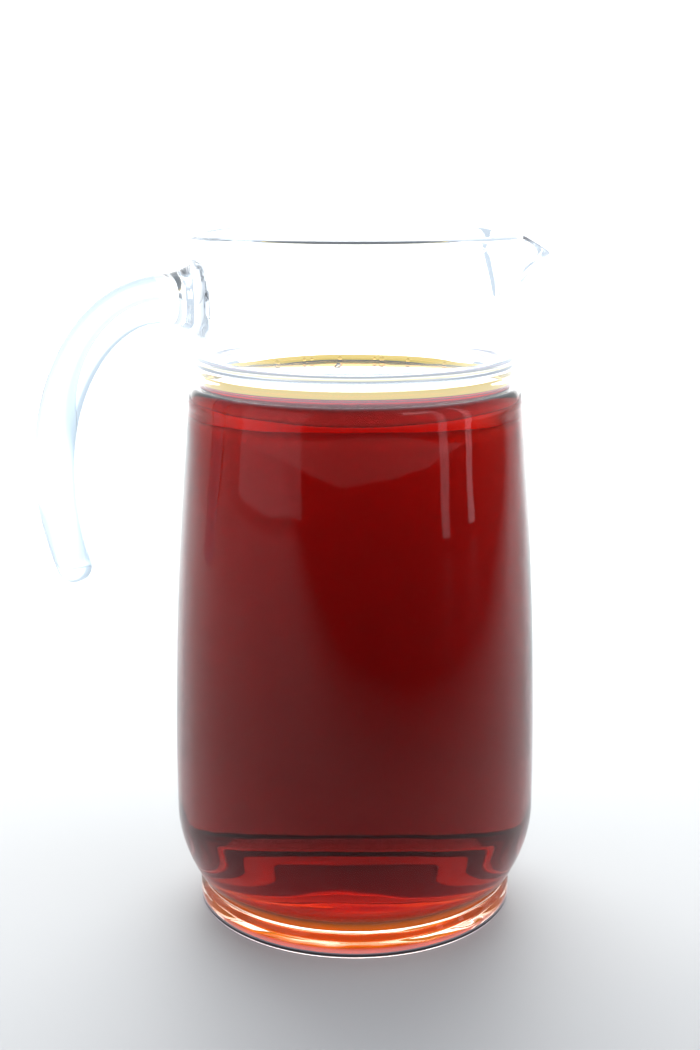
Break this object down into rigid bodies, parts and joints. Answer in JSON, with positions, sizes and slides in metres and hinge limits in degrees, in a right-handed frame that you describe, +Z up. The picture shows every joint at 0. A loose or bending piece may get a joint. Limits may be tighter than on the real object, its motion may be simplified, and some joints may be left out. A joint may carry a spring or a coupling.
{
  "type": "glass jug of tea",
  "caption": "Footed clear glass jug with a neck groove, straight collar, pouring lip and open hook handle, filled to the neck with dark red tea.",
  "frame": {"origin": "on the jug's axis, on the surface that it stands on", "axes": "+Z up along the jug's axis, +X from the axis towards the pouring lip, the handle at -X"},
  "size_m": [0.1584, 0.1132, 0.21],
  "materials": {
    "glass": "clear pressed glass, fire-polished",
    "tea": "clear dark red liquid"
  },
  "bodies": {
    "root": {"jug": "glass", "tea": "tea"}
  },
  "joints": []
}
